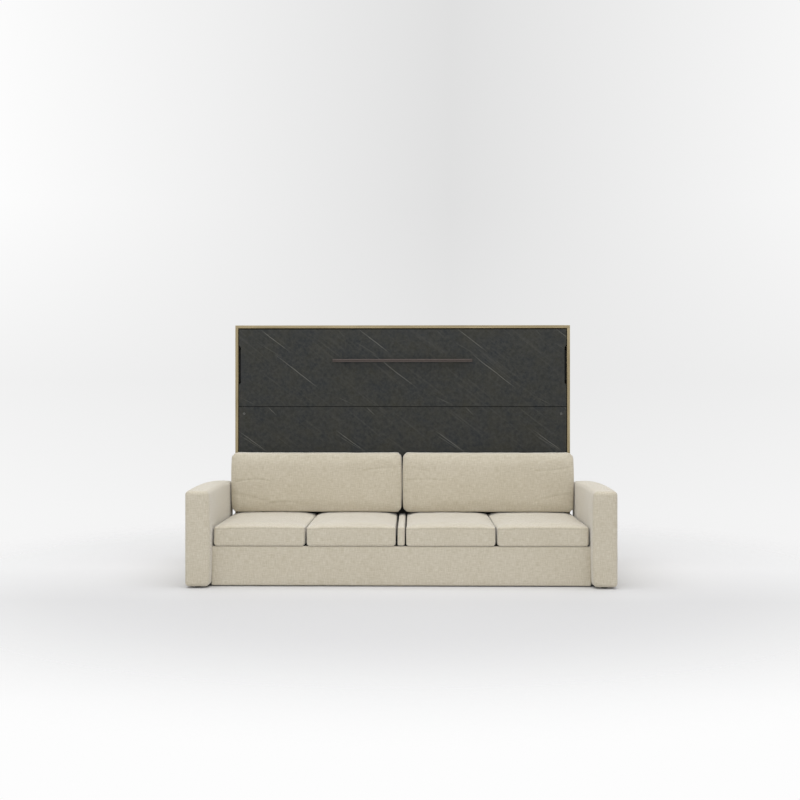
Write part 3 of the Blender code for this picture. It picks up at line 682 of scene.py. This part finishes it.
# Each crease has its start, middle and end in x and z, then its width and its depth, all in metres.
creases = {
    "left": (((-1.045, 0.548), (-0.925, 0.564), (-0.830, 0.552), 0.0050, 0.0026),
             ((-1.050, 0.470), (-0.960, 0.455), (-0.820, 0.415), 0.0100, 0.0014),
             ((-0.230, 0.622), (-0.130, 0.634), (-0.030, 0.640), 0.0060, 0.0017),
             ((-0.850, 0.405), (-0.760, 0.420), (-0.660, 0.418), 0.0080, 0.0017)),
    "right": (((0.036, 0.558), (0.140, 0.564), (0.255, 0.560), 0.0050, 0.0021),
              ((0.840, 0.618), (0.940, 0.622), (1.040, 0.640), 0.0060, 0.0021),
              ((0.060, 0.640), (0.110, 0.628), (0.170, 0.612), 0.0060, 0.0017),
              ((0.830, 0.425), (0.960, 0.460), (1.050, 0.470), 0.0100, 0.0014)),
}


def crease(places, start, middle, end, width, depth):
    """Valley minus ridge: bell of the distance to a bent line, less a third of a bell just above it."""
    corners = np.array((start, middle, end))
    turn = np.linspace(0, 1, bend_points)[:, None]
    pull = 2 * corners[1] - (corners[0] + corners[2]) / 2
    bent = (1 - turn) ** 2 * corners[0] + 2 * turn * (1 - turn) * pull + turn ** 2 * corners[2]
    nearest, lift = np.full(len(places), np.inf), np.zeros(len(places))
    for first, second in zip(bent, bent[1:]):
        way = second - first
        along = np.clip((places - first) @ way / (way @ way), 0, 1)
        apart = places - (first + along[:, None] * way)
        distance = np.linalg.norm(apart, axis=1)
        lift = np.where(distance < nearest, apart[:, 1], lift)
        nearest = np.minimum(nearest, distance)
    ridge = ridge_share * bell(nearest - ridge_away * width, width) * (lift > 0)
    return depth * (bell(nearest, width) - ridge)


print("creases:", {side: len(lines) for side, lines in creases.items()})

# %% Back cushions
back_reach = 1.0785
back_inner = 0.0004
back_crown, back_radius, back_corner, back_seam = 0.013, 0.014, 0.034, 0.020
back_give_shares = 0.2, 1, 0.15
back_setback, back_proud = 0.0009, 0.001
back_seed = 20

for side in ("left", "right"):
    name = "back_cushion_" + side
    low, high = node_span(name)
    toward = 1 if side == "right" else -1
    low[0], high[0] = sorted((toward * back_inner, toward * back_reach))
    room = low + (0, back_setback, -back_proud), high + (0, 0, back_proud)
    cushion = stuffed_cushion(name + "_cover", room, 1, 1, back_crown, back_radius, (back_corner, (-1, 1)),
                              back_give_shares, ((1, -1, back_seam), (1, 1, back_seam)), back_seed)
    points = mesh_points(cushion.data)
    front = np.clip(-point_normals(cushion.data)[:, 1], 0, 1)
    valley = sum(crease(points[:, [0, 2]], *shape) for shape in creases[side])
    points[:, 1] += valley * front
    set_mesh_points(cushion.data, points)
    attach(cushion, name)
    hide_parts(name)
    print(cushion.name, len(cushion.data.polygons), "faces")

# %% [markdown]
# ## Arms, base front and the strip between the seats
#
# These are boards under a layer of foam and the same cloth. The foam rounds every edge and lets the tops
# rise a little in the middle. No simulation is needed: the block is crowned by formula, and a soft ripple
# keeps the large faces from looking like painted wood.

# %% Upholstered boards
board_ripple, board_ripple_length, board_ripple_seed = 0.0007, 0.19, 7
# The second number is the strength of the painted shade along the boards' seams.
board_seam_depth, board_seam_shade_share = 0.0008, 0.4


def covered_board(name, node, radius, step, shape, seams=(), sink=0.0):
    """A covered board: the block of its node, shaped by a function, rippled, with pressed-in seams.

    seams are the axis and the end, -1 or 1, whose rounded edge they follow. sink lets the underside down.
    """
    low, high = node_span(node)
    low[2] -= sink
    size, centre = high - low, (low + high) / 2
    points, faces, chart, shares = block_grid(size, radius, step)
    shaped = shape(points, shares)
    for axis in range(3):
        uneven = 1 + ripple(points, board_ripple_length, board_ripple_seed + axis)
        shaped[:, axis] -= shares[:, axis] * board_ripple * uneven / 2
    piece = make_piece(name, shaped + centre, faces, chart, cloth)
    line = np.zeros(len(points))
    for axis, end in seams:
        away = points[:, axis] - end * size[axis] / 2 + math.copysign(radius, end)
        line = np.maximum(line, bell(away, seam_width))
    pressed = mesh_points(piece.data) - point_normals(piece.data) * board_seam_depth * line[:, None]
    set_mesh_points(piece.data, pressed)
    # The seam lines are kept on the cover, so the cloth can paint shade along them.
    write_attribute(piece.data, "seam_shade", line * board_seam_shade_share)
    subdivide_once(piece)
    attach(piece, "sofa_cabinet")
    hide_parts(node)
    print(piece.name, len(piece.data.polygons), "faces")


# %% Arms
arm_radius, arm_step = 0.021, 0.012
arm_dome, arm_side_fall = 0.012, 0.0025
arm_belly, belly_forward_share, belly_length_share = 0.0070, 0.72, 0.45


def arm_shape(inner):
    """The top rises by dome * (1 - depth share squared) - fall * width share squared * (1 + depth share).

    The inner side is full beside the seat: belly * bell of the depth * (1 - height share to the fourth).
    inner is the side towards the seat, 1 or -1.
    """
    def shape(points, shares):
        shaped = points.copy()
        dome = arm_dome * (1 - shares[:, 1] ** 2) - arm_side_fall * shares[:, 0] ** 2 * (1 + shares[:, 1])
        shaped[:, 2] += dome * np.clip(shares[:, 2], 0, 1) ** 8
        belly = bell(shares[:, 1] + belly_forward_share, belly_length_share) * (1 - shares[:, 2] ** 4)
        shaped[:, 0] += inner * arm_belly * (belly * np.clip(inner * shares[:, 0], 0, 1) ** 4)
        return shaped
    return shape


for side, inner in (("left", 1), ("right", -1)):
    covered_board("sofa_arm_%s_cover" % side, "sofa_arm_" + side, arm_radius, arm_step, arm_shape(inner),
                  ((1, -1), (1, 1)))

# %% Strip between the seats, and base front
strip_radius, strip_step, strip_crown, strip_lean = 0.010, 0.006, 0.003, 0.003
base_radius, base_step, base_crown, base_power, base_sink = 0.009, 0.010, 0.002, 8, 0.007


def strip_shape(points, shares):
    """A narrow pad with a crowned top, whose right side leans towards the right pair of cushions."""
    return swell(points, shares, 2, strip_crown) + (strip_lean, 0, 0) * np.clip(shares, 0, 1)


def base_shape(points, shares):
    """A long flat panel, slightly crowned, with a high power that keeps it flat almost to its edges."""
    return swell(points, shares, 1, base_crown, base_power)


covered_board("centre_divider_cover", "centre_divider", strip_radius, strip_step, strip_shape, ((2, 1),))
covered_board("sofa_base_cover", "sofa_base_front", base_radius, base_step, base_shape, sink=base_sink)

# %% [markdown]
# ## The handle
#
# The long bar is an extruded profile: a flat bar with a narrow, deep groove along its face, where the
# fingertips find it. It could be milled from solid, but extruding gives the groove and the soft edges in
# one go. Here the profile is a closed line of points, repeated along the bar and drawn in a little at
# both ends.

# %% Grooved handle bar
groove_half, groove_depth, bar_edge = 0.0024, 0.0060, 0.0012
bar_trim, bar_drop = 0.0010, 0.0022
groove_points = 13

# The bar is drawn in at its tips: these many edges from its end, its profile has these shares.
tip_places = np.array((0, 0.6, 2))
tip_shares = 0.86, 0.96, 1


def build_handle():
    """A profile in y and z, placed at each station along x: middle + (profile - middle) * station share."""
    low, high = node_span("handle_bar")
    centre, half = (low + high) / 2 - (0, 0, bar_drop), (high - low) / 2 - (0, 0, bar_trim)
    turn = np.linspace(0, math.pi / 2, 5)
    corners = []
    for quarter, (y_end, z_end) in enumerate(((1, 1), (-1, 1), (-1, -1), (1, -1))):
        spread = turn + quarter * math.pi / 2
        corners.append(np.stack([y_end * (half[1] - bar_edge) + bar_edge * np.cos(spread),
                                 z_end * (half[2] - bar_edge) + bar_edge * np.sin(spread)], axis=-1))
    bend = np.sin(np.linspace(-math.pi / 2, math.pi / 2, groove_points))
    groove = np.stack([-half[1] + groove_depth * (1 - bend ** 8) ** 0.5, -bend * groove_half], axis=-1)
    profile = np.concatenate([corners[0], corners[1], groove, corners[2], corners[3]])
    tip = tip_places * bar_edge / half[0]
    stations = np.concatenate([tip - 1, np.linspace(-0.9, 0.9, 19), 1 - tip[::-1]])
    inset = np.interp(1 - np.abs(stations), tip, tip_shares)
    along = np.broadcast_to(stations[:, None, None] * half[0], (len(stations), len(profile), 1))
    rings = np.concatenate([along, inset[:, None, None] * profile[None]], axis=-1)
    count = len(profile)
    index = np.arange(len(stations) * count).reshape(len(stations), count)
    after = np.roll(index, -1, axis=1)
    quads = np.stack([index[:-1], after[:-1], after[1:], index[1:]], axis=-1).reshape(-1, 4)
    mesh = bpy.data.meshes.new("handle_bar_profile")
    ends = [index[0, ::-1].tolist(), index[-1].tolist()]
    mesh.from_pydata((rings.reshape(-1, 3) + centre).tolist(), [], quads.tolist() + ends)
    mesh.shade_smooth()
    mesh.set_sharp_from_angle(angle=math.radians(30))
    mesh.materials.append(bronze)
    piece = bpy.data.objects.new("handle_bar_profile", mesh)
    scene.collection.objects.link(piece)
    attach(piece, "bed")
    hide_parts("handle_bar")
    print(piece.name, len(mesh.polygons), "faces")


build_handle()

# %% [markdown]
# ## The mattress
#
# It is hidden until the bed comes down. A knitted cover is quilted in wide diamonds on both faces, and a
# rounded tape finishes the edges. The quilting is a shallow valley wherever two families of slanted lines
# run, pressed in by formula.

# %% Mattress
quilt_spacing, quilt_width, quilt_depth = 0.16, 0.014, 0.006
mattress_radius, mattress_step = 0.028, 0.016

# The quilting fades out over a twelfth of each half, and starts a little in from the edge.
edge_fade, edge_start = 12, 0.6


def build_mattress():
    """A block, with valleys where (x + z) or (x - z) is a whole number of spacings."""
    low, high = node_span("mattress")
    size, centre = high - low, (low + high) / 2
    points, faces, chart, shares = block_grid(size, mattress_radius, mattress_step)
    face = np.clip(np.abs(shares[:, 1]) * edge_fade - (edge_fade - 1), 0, 1)
    inner = np.clip((1 - np.abs(shares[:, [0, 2]])).min(axis=1) * edge_fade - edge_start, 0, 1)
    valley = np.zeros(len(points))
    for way in (1, -1):
        phase = (points[:, 0] + way * points[:, 2]) / quilt_spacing
        valley = np.maximum(valley, bell((phase - np.round(phase)) * quilt_spacing, quilt_width))
    points[:, 1] -= np.sign(shares[:, 1]) * quilt_depth * valley * face * inner
    piece = make_piece("mattress_cover", points + centre, faces, chart, ticking)
    subdivide_once(piece)
    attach(piece, "bed")
    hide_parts("mattress")
    print(piece.name, len(piece.data.polygons), "faces")


build_mattress()

# %% Mattress tape
tape_radius = 0.0038
corner_points, ring_points = 13, 8


def edge_tape(name, end):
    """A thin tube round the mattress: path point + radius * (outward * cos + y * sin) of an angle."""
    low, high = node_span("mattress")
    centre, half = (low + high) / 2, (high - low) / 2 - mattress_radius * (1 - math.sqrt(0.5))
    bend = mattress_radius * math.sqrt(0.5)
    path, outward = [], []
    for quarter in range(4):
        angle = np.linspace(0, math.pi / 2, corner_points) + quarter * math.pi / 2
        way = np.stack([np.cos(angle), np.zeros(corner_points), np.sin(angle)], axis=-1)
        corner = np.sign(way[corner_points // 2]) * (half - bend) * (1, 0, 1)
        path.append(corner + way * bend)
        outward.append(way)
    path, outward = np.concatenate(path), np.concatenate(outward)
    turn = np.linspace(0, 2 * math.pi, ring_points + 1)[:-1]
    ring = path[:, None] + tape_radius * (np.cos(turn)[:, None] * outward[:, None]
                                          + np.sin(turn)[:, None] * np.array((0, 1, 0)))
    ring[..., 1] += end * half[1]
    index = np.arange(len(path) * ring_points).reshape(-1, ring_points)
    after, beside = np.roll(index, -1, axis=0), np.roll(index, -1, axis=1)
    quads = np.stack([index, beside, np.roll(after, -1, axis=1), after], axis=-1).reshape(-1, 4)
    piece = make_piece(name, (ring + centre).reshape(-1, 3), quads, None, webbing)
    subdivide_once(piece)
    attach(piece, "bed")
    print(piece.name, len(piece.data.polygons), "faces")


edge_tape("mattress_tape_front", -1)
edge_tape("mattress_tape_back", 1)

# %% [markdown]
# ## Studio
#
# A pale floor under soft light. The floor is a disc whose edge fades away, so that no horizon shows, and it
# is darker towards the front by painted shade. What is behind it is the world's own pale colour, which only
# the
# camera and reflections see: the object itself is lit by a plain, even sky and two large soft lamps, one
# above and one in front.

# %% Floor
floor_corners, floor_radius = 96, 5.0
fade_start, fade_end = 1.6, 3.4


def studio_floor():
    """A pale disc, darker towards the front by painted shade, that fades out between two distances."""
    mesh = bpy.data.meshes.new("studio_floor")
    turns = np.linspace(0, 2 * math.pi, floor_corners + 1)[:-1]
    rim = np.stack([np.cos(turns), np.sin(turns), np.zeros(floor_corners)], axis=-1) * floor_radius
    mesh.from_pydata(rim.tolist(), [], [list(range(floor_corners))])
    floor = bpy.data.objects.new("studio_floor", mesh)
    scene.collection.objects.link(floor)
    material, tree, shader = start_material("studio_floor", 0.8, Specular_IOR_Level=0.2)
    body = add_node(tree, "TexCoord").outputs["Object"]
    _, depth, _ = add_node(tree, "SeparateXYZ", {0: body}).outputs
    # Painted shade: the floor's colour darkens from the back towards the front.
    colour = blend_colours(tree, remap(tree, depth, 0.1, -1.0), linear("#dfdfe0"), linear("#cacacb"))
    tree.links.new(colour, shader.inputs["Base Color"])
    reach = add_node(tree, "VectorMath", {0: body}, operation="LENGTH").outputs["Value"]
    fade = add_node(tree, "MapRange", {"Value": reach, "From Min": fade_start, "From Max": fade_end},
                    interpolation_type="SMOOTHSTEP").outputs[0]
    clear = add_node(tree, "BsdfTransparent")
    mixed = add_node(tree, "MixShader", {0: fade, 1: shader.outputs[0], 2: clear.outputs[0]})
    tree.links.new(mixed.outputs[0], tree.nodes["Material Output"].inputs["Surface"])
    mesh.materials.append(material)


studio_floor()
print("floor: %.1f m across, seen to %.1f m from the middle" % (2 * floor_radius, fade_end))

# %% World
sky_strength = 0.80
backdrop_middle = 0.034


def studio_world():
    """An even sky, and for the camera and reflections a pale backdrop with painted shade, a little darker
    in the middle.

    The way that is looked in, as x, y and z from -1 to 1, chooses the tone.
    """
    world = bpy.data.worlds.new("studio")
    world.use_nodes = True
    scene.world = world
    tree = world.node_tree
    sky = tree.nodes["Background"]
    sky.inputs["Color"].default_value = (1, 1, 1, 1)
    sky.inputs["Strength"].default_value = sky_strength
    way = add_node(tree, "TexCoord").outputs["Generated"]
    x, y, z = add_node(tree, "SeparateXYZ", {0: way}).outputs
    aside = calculate(tree, "ABSOLUTE", calculate(tree, "SUBTRACT", x, backdrop_middle))
    aside = calculate(tree, "MAXIMUM", remap(tree, aside, 0.0, 0.40), remap(tree, y, 0.3, 0.0))
    # Painted light and shade on the backdrop: darker in the middle, lighter towards the sides and below.
    high = blend_colours(tree, aside, linear("#e0e0e0"), linear("#fdfdfd"))
    middle = blend_colours(tree, aside, linear("#e6e6e6"), linear("#f1f1f1"))
    low = blend_colours(tree, aside, linear("#eeeeee"), linear("#f6f6f6"))
    colour = blend_colours(tree, remap(tree, z, 0.18, 0.02), high, middle)
    colour = blend_colours(tree, remap(tree, z, 0.02, -0.10), colour, low)
    colour = blend_colours(tree, remap(tree, z, -0.13, -0.26), colour, linear("#fdfdfd"))
    backdrop = add_node(tree, "Background", {"Color": colour, "Strength": 1.0})
    rays = add_node(tree, "LightPath").outputs
    mirrored = calculate(tree, "MAXIMUM", rays["Is Glossy Ray"], rays["Is Transmission Ray"])
    seen = calculate(tree, "MAXIMUM", rays["Is Camera Ray"], mirrored)
    mixed = add_node(tree, "MixShader", {0: seen, 1: sky.outputs[0], 2: backdrop.outputs[0]})
    tree.links.new(mixed.outputs[0], tree.nodes["World Output"].inputs["Surface"])


studio_world()
print("sky strength:", sky_strength)


# %% Lamps
def soft_lamp(name, place, aim, size, power):
    """A large rectangular lamp that points at a place: its size is in metres and its power in watts."""
    data = bpy.data.lights.new(name, "AREA")
    data.shape = "RECTANGLE"
    data.size, data.size_y = size
    data.energy = power
    lamp = bpy.data.objects.new(name, data)
    lamp.location = place
    lamp.rotation_euler = (Vector(aim) - Vector(place)).to_track_quat("-Z", "Y").to_euler()
    scene.collection.objects.link(lamp)
    print(name, power, "W")


soft_lamp("lamp_above", (0.0, -0.7, 4.4), (0, -0.2, 0.4), (6.0, 4.0), 126)
soft_lamp("lamp_in_front", (-0.4, -7.5, 3.0), (0, 0, 0.8), (4.0, 3.0), 100)
